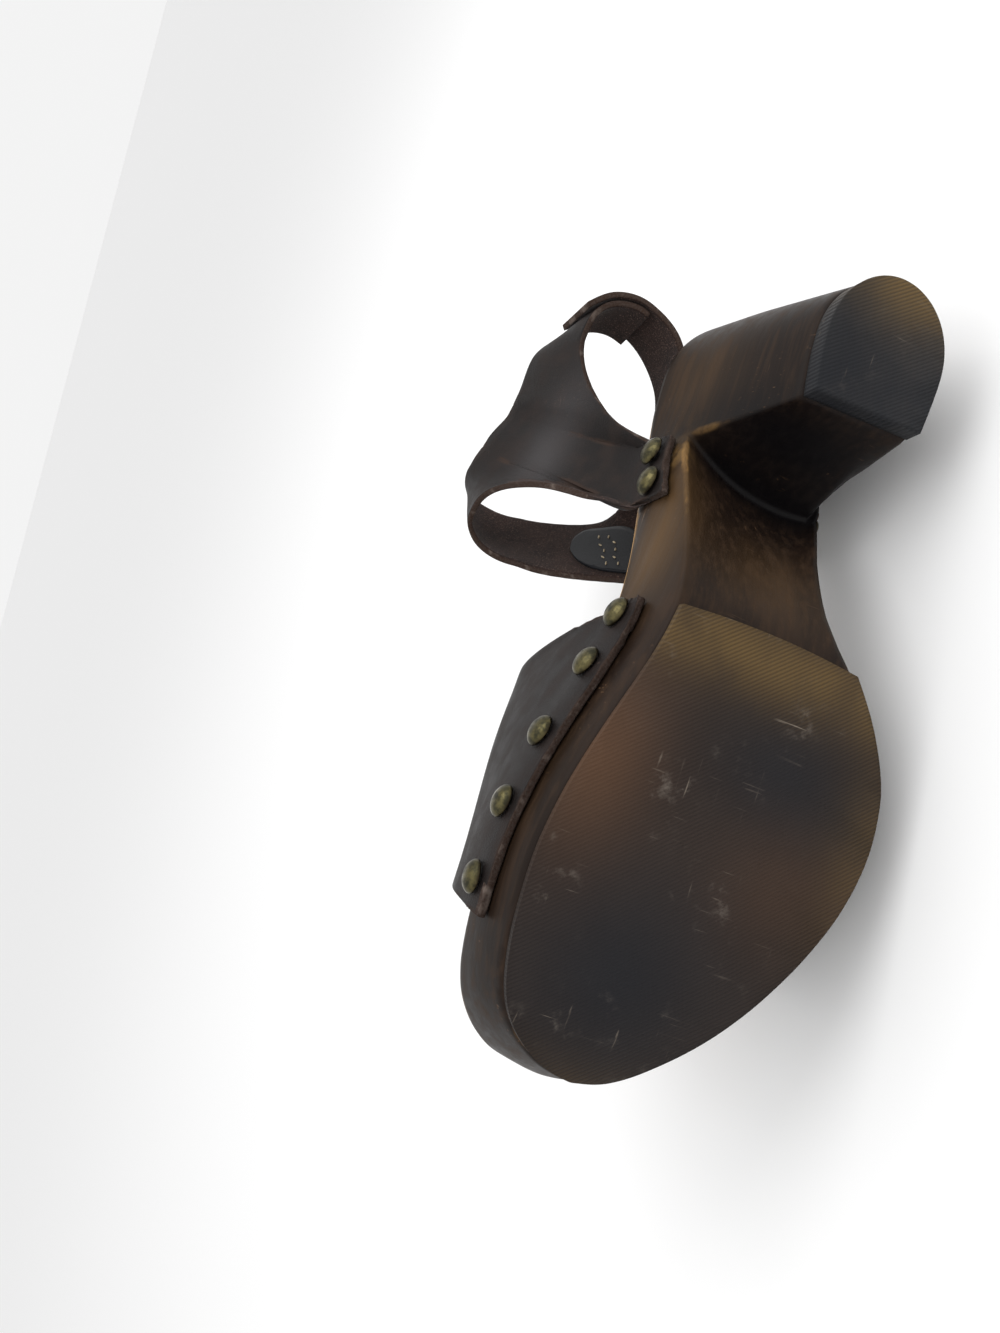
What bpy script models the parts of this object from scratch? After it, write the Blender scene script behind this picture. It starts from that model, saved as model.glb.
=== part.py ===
"""Wooden sole sandal for the right foot: carved sole with a block heel, ribbed forefoot sheet
and heel lift, leather insole, a wide forefoot strap and an ankle strap with an overlapped
closure behind the heel, all fixed to the side of the sole with domed studs.

The shoe is shaped standing up, with x to the outer side, y to the toe and z up, and is
then laid over on its outer side, as it rests."""

import math

import bmesh
import bpy
import numpy as np
from mathutils import Matrix, Vector

MM = 0.001
GAP = 0.3               # clearance between pieces that touch
LEATHER = 2.2           # strap leather
INSOLE_THICK = 2.2
SHEET_THICK = 2.5       # ribbed rubber under the forefoot
LIFT_THICK = 6.0        # ribbed rubber under the heel
INSOLE_INSET = 1.0      # how far the insole stays inside the footbed edge
INSOLE_CLEAR = 0.12     # extra room under the insole
SHEET_INSET = 0.35      # how far the sheet stays inside the lower edge
LIFT_TAPER = 0.985      # size of the lift's ground face against its top
LIFT_MIDDLE = (6.9, 28.5)

TOE_Y = 247.3           # toe end of the footbed edge
BREAST_Y = (56.6, 57.0)     # top of the heel breast at the inner and outer side
BREAST_Z = (44.0, 43.6)
BREAST_FOOT_Y = 56.8        # where the arch starts, between its two sides
LIFT_BREAST_Y = (48.8, 46.5)
LIFT_BREAST_X = (-9.9, 24.6)
HEEL_BOTTOM = LIFT_THICK + GAP
SHEET_REAR_Y = 115.5
SHEET_REAR_BOW = 1.5
FOOTBED_DISH = 2.4
WALL_BULGE = 1.1

HEEL_STEPS = 15         # stations from the back of the heel to the breast
SOLE_STEPS = 38         # stations from the breast to the toe
ACROSS = 8              # faces across the sole
WALL_UP = 4             # faces up the side, above the lower edge
WALL_LOW = 5            # faces up the side of the heel below it

# footbed edge, from the widest part of the seat to the toe
RIM = {
    "y":     [31, 44, 55, 70, 83, 94, 108, 115, 130, 145, 160, 175, 190, 205, 219, 230, 238, 243, 246, TOE_Y],
    "inner": [-29, -28.7, -27.9, -27.7, -28.0, -28.0, -28.9, -29.8, -33.0, -37.4, -41.4, -44.1, -45.3, -44.8,
              -42.8, -39.2, -33.6, -27.6, -21.5, -14.5],
    "outer": [32, 31.5, 30, 26.4, 24.6, 25.4, 30, 34.0, 43.4, 50.4, 52.2, 50.2, 44.8, 36.8, 27, 17, 7.5, 0,
              -7, -14.5],
    "z":     [70, 68.5, 65.5, 59.5, 53, 47.5, 41, 38, 33, 30, 28.5, 28.0, 28.2, 29, 30.5, 32.5, 34.3, 35.5,
              36.2, 36.5],
}
# lower edge of the wood, from the heel breast to the toe
RIDGE = {
    "y":     [56, 62, 70, 85, 100, 108, 115, 123, 130, 145, 160, 175, 190, 205, 218, 226, 231, 237, 240.2,
              241.4],
    "inner": [-23.7, -25.6, -26.6, -26.6, -26.0, -25.9, -26.3, -27.4, -28.9, -33.3, -37.6, -40.9, -42.5, -41.8,
              -39.2, -35.8, -32, -24.2, -17, -11],
    "outer": [26.4, 25.6, 21.6, 17.6, 19, 22.4, 28.2, 34.9, 39.5, 47.0, 48.6, 46.2, 40.2, 31.5, 22.2, 15.0,
              9.6, 2.0,
              -4.6, -11],
    "z":     [44.5, 38.8, 31.5, 20, 11, 6.6, 4.0, 2.9, 2.8, 2.8, 2.8, 2.8, 2.8, 3.1, 4.5, 6, 7.1, 8.6, 9.5,
              9.9],
}
# crease between the breast and the arch, from the inner to the outer side: how far it bows to the toe, and dips
CREASE = {
    "across": [0, 0.25, 0.5, 0.75, 0.9, 1],
    "bow":    [0, 6.5, 10.2, 11.4, 10.6, 0],
    "dip":    [0, 0.6, 1.6, 3.6, 5.6, 0],
}
# rounded back of the heel at the lift and at the footbed edge
HEEL_LEVEL = {
    "z":       [HEEL_BOTTOM, 71.5],
    "centre":  [6.6, 1.5],
    "inner":   [18.9, 30.5],
    "outer":   [19.0, 30.5],
    "rear_y":  [7.4, 0.0],
    "wide_y":  [29.0, 31.0],
}
HEEL_LINE_Z = 44.0      # height of the lower edge line, carried round the heel
HEEL_SWELL = 0.6
HEEL_TURN = 0.60        # share of the heel's stations that go round its back

# forefoot strap at its front, middle and rear edge: heights on the side, then its arch
FORE_STRAP = {
    "low_y":     [209.5, 160.0, 115.5],
    "low_h":     [0.42, 0.42, 0.42],
    "rim_y":     [208.8, 161.0, 120.5],
    "mid_y":     [208.4, 164.0, 127.5],
    "mid_in_x":  [-45.4, -43.2, -36.0],
    "mid_out_x": [37.6, 51.8, 40.5],
    "mid_z":     [44.0, 50.0, 60.0],
    "top_y":     [207.6, 171.0, 140.5],
    "top_in_x":  [-38.0, -38.6, -37.0],
    "top_out_x": [28.5, 44.0, 39.0],
    "top_z":     [64.0, 76.0, 84.5],
    "crest_y":   [205.5, 178.0, 154.0],
    "crest_x":   [-7.0, 1.0, 1.0],
    "crest_z":   [74.0, 88.0, 97.0],
}

# ankle strap, from the hidden end behind the heel round the inner side, over the instep and
# back on the outer side. Lower edge, upper edge, and how far the middle stands out.
ANKLE_BACK_INNER = {
    "low":  [(-32.6, -1.4, 97.8), (-40.0, -2.6, 99.2), (-46.6, -0.6, 100.8), (-50.9, 4.8, 102.6),
             (-52.0, 11.6, 103.4),
             (-51.2, 19.8, 101.8), (-48.2, 29.6, 96.8), (-43.4, 39.3, 89.0), (-37.6, 49.2, 77.0)],
    "high": [(-32.6, 1.4, 121.0), (-40.0, -0.2, 122.2), (-46.4, 1.2, 123.8), (-52.4, 5.6, 126.8),
             (-57.0, 10.6, 129.6),
             (-60.4, 16.4, 132.4), (-60.6, 22.6, 134.6), (-60.2, 28.6, 136.2), (-60.4, 33.4, 137.4)],
}
ANKLE_TAB_INNER = {
    "edge_y": [58.2, 59.2, 70.5, 81.2, 81.8],
    "edge_z": [58.5, 46.0, 38.5, 31.5, 50.5],
    "high":   [(-60.9, 38.6, 138.6), (-61.2, 41.0, 139.2), (-63.0, 45.5, 140.6), (-64.6, 50.0, 142.2),
               (-64.9, 52.0, 142.8)],
}
ANKLE_FRONT = {
    "low":  [(-34.8, 78.4, 70.0), (-41.6, 75.8, 82.0), (-48.1, 73.8, 93.0), (-54.4, 73.6, 105.0),
             (-59.6, 74.8, 117.0),
             (-62.6, 78.4, 127.0), (-62.4, 84.6, 133.5), (-57.6, 91.2, 136.6), (-49.3, 94.6, 135.2),
             (-36.4, 95.7, 128.0), (-26.3, 95.6, 118.0), (-16.6, 94.6, 105.4), (-7.6, 93.4, 92.6), (1.6, 91.6, 80.4)],
    "high": [(-65.6, 56.0, 145.4), (-66.4, 59.2, 148.4), (-66.3, 61.8, 152.0), (-65.4, 64.2, 156.0),
             (-63.6, 66.2, 160.2), (-60.8, 67.8, 164.0), (-57.0, 69.0, 166.8), (-52.0, 70.0, 168.2), (-45.4, 70.8, 166.6),
             (-35.6, 70.8, 159.4), (-25.3, 69.8, 149.8), (-17.4, 68.4, 140.4), (-12.6, 66.4, 133.4), (-10.6, 63.6, 129.0)],
}
ANKLE_TAB_OUTER = {
    "edge_y": [76.0, 75.4, 66.4, 57.6, 57.0],
    "edge_z": [62.5, 45.5, 49.5, 52.5, 70.5],
    "high":   [(-9.6, 59.8, 126.6), (-9.2, 57.6, 125.6), (-8.6, 53.0, 124.2), (-8.2, 48.6, 123.0),
               (-8.2, 46.4, 122.4)],
}
ANKLE_BACK_OUTER = {
    "low":  [(17.0, 48.6, 76.0), (7.8, 42.0, 84.0), (-1.2, 34.6, 89.0), (-7.8, 26.2, 91.6), (-12.4, 17.4, 93.0),
             (-16.4, 9.6, 93.6), (-20.8, 3.0, 94.4), (-26.8, -1.7, 95.8), (-33.4, -4.5, 97.2), (-40.6, -5.7, 98.8),
             (-48.2, -3.3, 100.4), (-54.3, 3.0, 102.0)],
    "high": [(-8.2, 40.6, 121.2), (-8.4, 34.8, 120.4), (-9.0, 28.6, 119.8), (-10.4, 22.0, 119.4),
             (-13.0, 15.0, 119.2),
             (-17.4, 9.0, 119.4), (-22.6, 3.8, 120.0), (-28.4, -0.2, 120.6), (-34.4, -2.5, 121.4), (-40.8, -3.2, 122.6),
             (-48.2, -1.7, 124.6), (-55.3, 3.2, 127.6)],
}
FORE_CLEAR = 0.27        # extra room between the wood and the forefoot strap
TAB_CLEAR = (0.2, 0.5)   # the same for the inner and outer tab of the ankle strap
ANKLE_MIDDLE = (-35.0, 50.0, 110.0)
ANKLE_STEP = 2           # strap faces between two rows of the tables
# where the strap's faces lie, from its lower to its upper edge
ANKLE_CUTS = [0.0, 0.2, 0.4, 0.6, 0.8, 0.9, 1.0]

# studs: place along the side and height up it
STUD_RADIUS = 4.9
STUD_HEIGHT = 3.1
STUD_SIDES = 12
STUD_CLEAR = {"forefoot": 0.25, "ankle": 0.32}      # extra room between the leather and the studs
FORE_STUDS = {"y": [121.5, 138.0, 160.0, 180.5, 201.0], "z": [24.5, 23.0, 21.5, 21.0, 22.0]}
ANKLE_STUDS_INNER = {"y": [64.8, 76.2], "z": [49.0, 42.0]}
ANKLE_STUDS_OUTER = {"y": [61.8, 71.2], "z": [58.2, 54.0]}

# shield sewn inside the outer half of the instep band, along and across the strap
SHIELD_ALONG = (24.5, 27.2)
SHIELD_ACROSS = (0.50, 0.40)
SHIELD_THICK = 1.0
SHIELD_NOSE = 0.34       # share of its length that its rounded end takes
SHIELD_CUTS = [0.0, 0.03, 0.09, 0.19, 0.34, 0.66, 1.0]

# direction, in the standing shoe, that comes to face the floor
REST_SIDE = Vector((0.95, 0.05, 0.25))
# kilograms in a cubic metre
DENSITY = {"wood_sole": 620, "insole": 900, "forefoot_sheet": 1150, "heel_lift": 1150, "forefoot_strap": 950,
           "ankle_strap": 950, "inner_shield": 1000, "forefoot_stud": 8400, "ankle_stud": 8400}


def ease(xs, ys, x):
    """Value at x of a smooth curve through the rows, which doesn't overshoot them."""
    xs, ys = np.asarray(xs, float), np.asarray(ys, float)
    h = np.diff(xs)
    slope = np.diff(ys) / h
    grade = np.zeros(len(xs))
    grade[0], grade[-1] = slope[0], slope[-1]
    for i in range(1, len(xs) - 1):
        if slope[i - 1] * slope[i] > 0:
            w1, w2 = 2 * h[i] + h[i - 1], h[i] + 2 * h[i - 1]
            grade[i] = (w1 + w2) / (w1 / slope[i - 1] + w2 / slope[i])
    x = min(max(x, xs[0]), xs[-1])
    i = min(int(np.searchsorted(xs, x, side="right")) - 1, len(xs) - 2)
    t = (x - xs[i]) / h[i]
    return float((2 * t**3 - 3 * t**2 + 1) * ys[i] + (t**3 - 2 * t**2 + t) * h[i] * grade[i]
                 + (3 * t**2 - 2 * t**3) * ys[i + 1] + (t**3 - t**2) * h[i] * grade[i + 1])


def strand(points, t, corners=()):
    """Point at place t (0, 1, 2 ...) of a smooth line through the points. At a corner it turns sharply."""
    i = min(max(int(math.floor(t)), 0), len(points) - 2)
    f = t - i
    a, b = points[i], points[i + 1]
    step = b - a
    size = max(np.linalg.norm(step), 1e-9)
    m0 = m1 = step
    if i > 0 and i not in corners:
        before = a - points[i - 1]
        d = max(np.linalg.norm(before), 1e-9)
        m0 = (step / size * d + before / d * size) / (size + d) * size
    if i + 2 < len(points) and i + 1 not in corners:
        after = points[i + 2] - b
        d = max(np.linalg.norm(after), 1e-9)
        m1 = (step / size * d + after / d * size) / (size + d) * size
    return ((2 * f**3 - 3 * f**2 + 1) * a + (f**3 - 2 * f**2 + f) * m0
            + (3 * f**2 - 2 * f**3) * b + (f**3 - f**2) * m1)


def unit(v):
    return v / max(np.linalg.norm(v), 1e-12)


# sides of the sole: 0 is the inner side, 1 the outer side
SIDE_NAME = ("inner", "outer")


def toe_spread(s):
    """Stations lie closer together near the round toe."""
    return 1.0 - (1.0 - s) ** 1.75 * (0.75 + 0.25 * (1.0 - s)) if s > 0 else 0.0


def ridge_point(side, s):
    """Lower edge of the wood. Stations below 0 follow the edge line back round the heel."""
    if s < 0:
        return heel_line(side, 1 + s)
    first = BREAST_Y[side]
    y = first + (RIDGE["y"][-1] - first) * toe_spread(s)
    z = ease(RIDGE["y"], RIDGE["z"], y)
    z += (BREAST_Z[side] - ease(RIDGE["y"], RIDGE["z"], first)) * max(0.0, 1 - (y - first) / 8.0)
    if side == 1:
        z += 3.4 * math.exp(-((y - 66.5) / 5.0) ** 2)
    return np.array([ease(RIDGE["y"], RIDGE[SIDE_NAME[side]], y), y, z])


def rim_point(side, s):
    """Edge of the footbed."""
    if s < 0:
        return heel_level_point(side, 1 + s, 1)
    first = BREAST_Y[side] + 0.6
    y = first + (TOE_Y - first) * toe_spread(s)
    return np.array([ease(RIM["y"], RIM[SIDE_NAME[side]], y), y, ease(RIM["y"], RIM["z"], y)])


def side_point(side, s, h):
    """Point on the side of the sole at station s, from the lower edge (h 0) to the footbed edge (h 1)."""
    low, high = ridge_point(side, s), rim_point(side, s)
    out = np.array([-1.0, 0.0, 0.0]) if side == 0 else np.array([1.0, 0.0, 0.0])
    if s > 0.8:
        mid = (ridge_point(0, s) + ridge_point(1, s)) / 2
        lean = (s - 0.8) / 0.2
        out = unit((1 - lean) * out + lean * unit(low - mid + np.array([0, 14.0, 0]) * lean) * np.array([1, 1, 0]))
    swell = WALL_BULGE * min(1.0, max(0.0, 1 + s * 4))
    return low + (high - low) * h + out * swell * math.sin(math.pi * h)


def side_at(side, y, h):
    """The same, found by its place along the shoe."""
    lo, hi = HEEL_TURN - 1, 1.0
    for _ in range(40):
        mid = (lo + hi) / 2
        if side_point(side, mid, h)[1] < y:
            lo = mid
        else:
            hi = mid
    return (lo + hi) / 2


def side_skin(side, y, h, off):
    """Point that stands off the side of the sole by off, and the way out of the wood there."""
    s = side_at(side, y, h)
    d = 0.004
    along = side_point(side, min(s + d, 1), h) - side_point(side, s - d, h)
    up = side_point(side, s, min(h + 0.05, 1.0)) - side_point(side, s, max(h - 0.05, 0.0))
    out = unit(np.cross(up, along) if side == 1 else np.cross(along, up))
    if out[0] * (1 if side else -1) < 0:
        out = -out
    return side_point(side, s, h) + out * off, out


def height_on_side(side, y, z):
    """How far up the side, as a share, the height z lies."""
    lo, hi = 0.0, 1.0
    for _ in range(30):
        mid = (lo + hi) / 2
        if side_skin(side, y, mid, 0)[0][2] < z:
            lo = mid
        else:
            hi = mid
    return (lo + hi) / 2


def heel_level_point(side, q, level):
    """Outline of the heel at the lift (level 0) or the footbed edge (1). It runs from the back to the breast (q 1)."""
    c, wide = HEEL_LEVEL["centre"][level], HEEL_LEVEL[SIDE_NAME[side]][level]
    rear, wide_y, z = (HEEL_LEVEL[key][level] for key in ("rear_y", "wide_y", "z"))
    sign = 1 if side else -1
    if q <= HEEL_TURN:
        a = q / HEEL_TURN * math.pi / 2
        drop = 1.5 * (1 - math.cos(a)) if level == 1 else 0.0
        return np.array([c + sign * wide * math.sin(a), wide_y - (wide_y - rear) * math.cos(a), z - drop])
    f = (q - HEEL_TURN) / (1 - HEEL_TURN)
    if level == 1:
        y = wide_y + (BREAST_Y[side] + 0.6 - wide_y) * f
        return np.array([ease(RIM["y"], RIM[SIDE_NAME[side]], y), y, ease(RIM["y"], RIM["z"], y)])
    end_x = LIFT_BREAST_X[side]
    return np.array([c + sign * wide + (end_x - c - sign * wide) * f ** 1.8,
                     wide_y + (LIFT_BREAST_Y[side] - wide_y) * f, z])


def heel_line(side, q):
    """The lower edge line where it runs on round the heel, and out to the corner of the breast."""
    def plain(k):
        low, high = heel_level_point(side, k, 0), heel_level_point(side, k, 1)
        cut = (HEEL_LINE_Z - low[2]) / (high[2] - low[2])
        out = unit((low - np.array([4.0, 32.0, low[2]])))
        return low + (high - low) * cut + out * HEEL_SWELL
    f = max(0.0, (q - HEEL_TURN) / (1 - HEEL_TURN))
    return plain(q) + (ridge_point(side, 0.0) - plain(1.0)) * f ** 2.2


def heel_wall(side, q):
    """Points up the side of the heel: WALL_LOW steps from the lift to the lower edge line, then WALL_UP more."""
    low, mid = heel_level_point(side, q, 0), heel_line(side, q)
    lower = [low + (mid - low) * i / WALL_LOW for i in range(WALL_LOW)]
    return lower, [side_point(side, q - 1, h / WALL_UP) for h in range(WALL_UP + 1)]


def merge(verts, faces, tol=1e-5):
    """One mesh from face corners, with corners in the same place joined and empty faces left out."""
    keys, out_v, remap = {}, [], []
    for v in verts:
        k = tuple(int(round(c / tol)) for c in v)
        if k not in keys:
            keys[k] = len(out_v)
            out_v.append(v)
        remap.append(keys[k])
    out_f = []
    for f in faces:
        g = []
        for i in f:
            j = remap[i]
            if not g or g[-1] != j:
                g.append(j)
        if len(g) > 1 and g[0] == g[-1]:
            g.pop()
        if len(g) >= 3:
            out_f.append(g)
    return out_v, out_f


class Skin:
    """Collects the grids that close round one piece."""

    def __init__(self):
        self.verts, self.faces = [], []

    def grid(self, rows):
        base = len(self.verts)
        n = len(rows[0])
        for row in rows:
            self.verts.extend([np.asarray(p, float) for p in row])
        for i in range(len(rows) - 1):
            for j in range(n - 1):
                a = base + i * n + j
                self.faces.append([a, a + 1, a + n + 1, a + n])

    def solid(self, name, colour, rough, turn):
        verts, faces = merge(self.verts, self.faces)
        bm = bmesh.new()
        made = [bm.verts.new(turn @ Vector(v * MM)) for v in verts]
        for f in faces:
            try:
                bm.faces.new([made[i] for i in f])
            except ValueError:
                pass
        bmesh.ops.recalc_face_normals(bm, faces=bm.faces)
        bmesh.ops.triangulate(bm, faces=bm.faces)
        if bm.calc_volume(signed=True) < 0:
            bmesh.ops.reverse_faces(bm, faces=bm.faces)
        return finish(bm, name, colour, rough)


def finish(bm, name, colour, rough):
    mesh = bpy.data.meshes.new(name)
    bm.to_mesh(mesh)
    bm.free()
    obj = bpy.data.objects.new(name, mesh)
    mat = bpy.data.materials.new(name)
    mat.use_nodes = True
    shader = mat.node_tree.nodes["Principled BSDF"]
    shader.inputs["Base Color"].default_value = (*colour, 1)
    shader.inputs["Roughness"].default_value = rough
    mesh.materials.append(mat)
    return obj


def footbed_row(left, right, sink):
    """Points across the footbed between its two edges, dished by sink."""
    return [left + (right - left) * c / ACROSS - np.array([0, 0, sink * (1 - (2 * c / ACROSS - 1) ** 2)])
            for c in range(ACROSS + 1)]


def dish_at(y):
    return ease([0, 25, 60, 100, 150, 215, TOE_Y], [0.6, FOOTBED_DISH, 1.6, 1.2, FOOTBED_DISH, 1.4, 0.2], y)


def under_row(s):
    """Points across the underside of the wood at station s."""
    left, right = ridge_point(0, s), ridge_point(1, s)
    row = []
    y = (left[1] + right[1]) / 2
    bow_fade = max(0.0, 1 - (y - BREAST_FOOT_Y) / 48.0) ** 1.3
    dip_fade = max(0.0, 1 - (y - BREAST_FOOT_Y) / 26.0) ** 1.3
    hollow = ease([56, 75, 95, 118, 300], [1.0, 2.2, 1.6, 0.0, 0.0], y)
    for c in range(ACROSS + 1):
        f = c / ACROSS
        move = np.array([0, ease(CREASE["across"], CREASE["bow"], f) * bow_fade,
                         hollow * 4 * f * (1 - f) - ease(CREASE["across"], CREASE["dip"], f) * dip_fade])
        row.append(left + (right - left) * f + move)
    return row


def make_wood(turn):
    skin = Skin()
    walls = {0: [], 1: []}
    for side in (0, 1):
        for i in range(HEEL_STEPS + 1):
            walls[side].append(heel_wall(side, i / HEEL_STEPS))
    for side in (0, 1):
        skin.grid([low + [up[0]] for low, up in walls[side]])
        rows = [up for _, up in walls[side]]
        rows += [[side_point(side, i / SOLE_STEPS, h / WALL_UP) for h in range(WALL_UP + 1)]
                 for i in range(1, SOLE_STEPS + 1)]
        skin.grid(rows)
    # footbed
    rows = [footbed_row(walls[0][i][1][-1], walls[1][i][1][-1], dish_at(walls[0][i][1][-1][1]))
            for i in range(HEEL_STEPS + 1)]
    rows += [footbed_row(rim_point(0, i / SOLE_STEPS), rim_point(1, i / SOLE_STEPS),
                         dish_at(rim_point(0, i / SOLE_STEPS)[1])) for i in range(1, SOLE_STEPS + 1)]
    skin.grid(rows)
    # underside from the breast to the toe, the breast, and the seat of the lift
    skin.grid([under_row(i / SOLE_STEPS) for i in range(SOLE_STEPS + 1)])
    lift_row = [walls[0][-1][0][0] + (walls[1][-1][0][0] - walls[0][-1][0][0]) * c / ACROSS for c in range(ACROSS + 1)]
    top_row = under_row(0.0)
    breast = []
    for r in range(WALL_LOW + 1):
        a = walls[0][-1][0][r] if r < WALL_LOW else walls[0][-1][1][0]
        b = walls[1][-1][0][r] if r < WALL_LOW else walls[1][-1][1][0]
        f = r / WALL_LOW
        row = []
        for c in range(ACROSS + 1):
            straight = a + (b - a) * c / ACROSS
            ends_low = lift_row[0] + (lift_row[-1] - lift_row[0]) * c / ACROSS
            ends_top = top_row[0] + (top_row[-1] - top_row[0]) * c / ACROSS
            row.append(straight + (lift_row[c] - ends_low) * (1 - f) + (top_row[c] - ends_top) * f ** 1.5)
        breast.append(row)
    skin.grid(breast)
    skin.grid([[walls[0][i][0][0] + (walls[1][i][0][0] - walls[0][i][0][0]) * c / ACROSS for c in range(ACROSS + 1)]
               for i in range(HEEL_STEPS + 1)])
    return skin.solid("wood_sole", (0.09, 0.045, 0.022), 0.45, turn)


def make_insole(turn):
    """Leather footbed cover, which reaches almost to the edge of the wood."""
    steps_heel, steps_sole = 10, 28
    lower, upper = [], []
    for i in range(steps_heel + steps_sole + 1):
        if i <= steps_heel:
            q = i / steps_heel
            a, b = heel_level_point(0, q, 1), heel_level_point(1, q, 1)
        else:
            s = (i - steps_heel) / steps_sole
            a, b = rim_point(0, s), rim_point(1, s)
        centre = np.array([0.5 * (a[0] + b[0]), 125.0 + 0.92 * (a[1] - 125.0), a[2]])
        sink = dish_at(a[1])
        pull = lambda p: p + unit(np.array([centre[0] - p[0], centre[1] - p[1], 0.0]) + 1e-9) * INSOLE_INSET
        if i in (0, steps_heel + steps_sole):
            a2 = b2 = a + np.array([0, INSOLE_INSET if i == 0 else -INSOLE_INSET, 0])
        else:
            a2, b2 = pull(a), pull(b)
        width = max(abs(b[0] - a[0]), 1e-6)
        lo_row, hi_row = [], []
        for c in range(ACROSS + 1):
            p = a2 + (b2 - a2) * c / ACROSS
            f = (p[0] - a[0]) / width if width > 1 else 0.5
            drop = sink * (1 - (2 * f - 1) ** 2) if width > 1 else 0.0
            lo_row.append(p + np.array([0, 0, GAP + INSOLE_CLEAR - drop]))
            hi_row.append(p + np.array([0, 0, GAP + INSOLE_CLEAR + INSOLE_THICK - drop]))
        lower.append(lo_row)
        upper.append(hi_row)
    skin = Skin()
    skin.grid(lower)
    skin.grid(upper)
    skin.grid([[lo[0], hi[0]] for lo, hi in zip(lower, upper)])
    skin.grid([[lo[-1], hi[-1]] for lo, hi in zip(lower, upper)])
    skin.grid([lower[0], upper[0]])
    skin.grid([lower[-1], upper[-1]])
    return skin.solid("insole", (0.62, 0.36, 0.12), 0.55, turn)


def make_sheet(turn):
    """Ribbed rubber under the forefoot: its rear edge bows, its sides follow the wood."""
    steps = 26
    lower, upper = [], []
    s_in, s_out = side_at(0, SHEET_REAR_Y + 1.5, 0.0), side_at(1, SHEET_REAR_Y + 1.0, 0.0)
    for i in range(steps + 1):
        f = i / steps
        a = ridge_point(0, s_in + (1 - s_in) * f)
        b = ridge_point(1, s_out + (1 - s_out) * f)
        mid = (a + b) / 2
        bow = -SHEET_REAR_BOW * max(0.0, 1 - f * 3)
        if i == steps:
            a = b = a + np.array([0, -SHEET_INSET, 0])
        else:
            aim = np.array([mid[0], mid[1] - 6 * f, 0])
            a = a + unit(aim - a * np.array([1, 1, 0])) * SHEET_INSET
            b = b + unit(aim - b * np.array([1, 1, 0])) * SHEET_INSET
        lo_row, hi_row = [], []
        for c in range(ACROSS + 1):
            p = a + (b - a) * c / ACROSS
            p = p + np.array([0, bow * 4 * (c / ACROSS) * (1 - c / ACROSS), 0])
            hi_row.append(p - np.array([0, 0, GAP + 0.05]))
            lo_row.append(p - np.array([0, 0, GAP + SHEET_THICK]))
        lower.append(lo_row)
        upper.append(hi_row)
    skin = Skin()
    skin.grid(lower)
    skin.grid(upper)
    skin.grid([[lo[0], hi[0]] for lo, hi in zip(lower, upper)])
    skin.grid([[lo[-1], hi[-1]] for lo, hi in zip(lower, upper)])
    skin.grid([lower[0], upper[0]])
    skin.grid([lower[-1], upper[-1]])
    return skin.solid("forefoot_sheet", (0.03, 0.024, 0.02), 0.7, turn)


def make_lift(turn):
    """Ribbed rubber under the heel."""
    steps = 12
    lower, upper = [], []
    for i in range(steps + 1):
        q = i / steps
        a, b = heel_level_point(0, q, 0), heel_level_point(1, q, 0)
        lower.append([(a + (b - a) * c / 4) * np.array([1, 1, 0]) for c in range(5)])
        upper.append([(a + (b - a) * c / 4) * np.array([1, 1, 0]) + np.array([0, 0, LIFT_THICK]) for c in range(5)])
    mx, my = LIFT_MIDDLE
    for row in lower:
        for n, p in enumerate(row):
            row[n] = np.array([mx + (p[0] - mx) * LIFT_TAPER, my + (p[1] - my) * LIFT_TAPER, 0.0])
    skin = Skin()
    skin.grid(lower)
    skin.grid(upper)
    skin.grid([[lo[0], hi[0]] for lo, hi in zip(lower, upper)])
    skin.grid([[lo[-1], hi[-1]] for lo, hi in zip(lower, upper)])
    skin.grid([lower[-1], upper[-1]])
    return skin.solid("heel_lift", (0.035, 0.03, 0.02), 0.7, turn)


def band(name, mid_rows, thick, colour, rough, turn, normals=None):
    """Closed strip of leather: the rows are its middle, and it stands thick / 2 to each side."""
    grid = np.array(mid_rows)
    if normals is None:
        normals = grid_normals(grid)
    outer, inner = grid + normals * thick / 2, grid - normals * thick / 2
    skin = Skin()
    skin.grid([list(r) for r in outer])
    skin.grid([list(r) for r in inner])
    for col in (0, -1):
        skin.grid([[outer[i][col], inner[i][col]] for i in range(len(grid))])
    for row in (0, -1):
        skin.grid([list(outer[row]), list(inner[row])])
    return skin.solid(name, colour, rough, turn)


def grid_normals(grid):
    along = np.gradient(grid, axis=0)
    across = np.gradient(grid, axis=1)
    n = np.cross(along, across)
    return n / np.maximum(np.linalg.norm(n, axis=2, keepdims=True), 1e-9)


def fore_line(v):
    """Lines for the forefoot strap at place v, from its front (0) to its rear edge (1)."""
    get = lambda key: ease([0, 0.5, 1], FORE_STRAP[key], v)
    off = GAP + FORE_CLEAR + LEATHER / 2
    pts = []
    for side in (0, 1):
        line = []
        low_y, rim_y, low_h = get("low_y"), get("rim_y"), get("low_h")
        for k in range(4):
            h = low_h + (0.97 - low_h) * k / 3
            y = low_y + (rim_y - low_y) * (k / 3) ** 1.3
            line.append(side_skin(side, y, h, off)[0])
        for part in ("mid", "top"):
            line.append(np.array([get(f"{part}_{'out' if side else 'in'}_x"), get(part + "_y"), get(part + "_z")]))
        pts.append(line)
    crest = np.array([get("crest_x"), get("crest_y"), get("crest_z")])
    return pts[0] + [crest] + pts[1][::-1]


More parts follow.
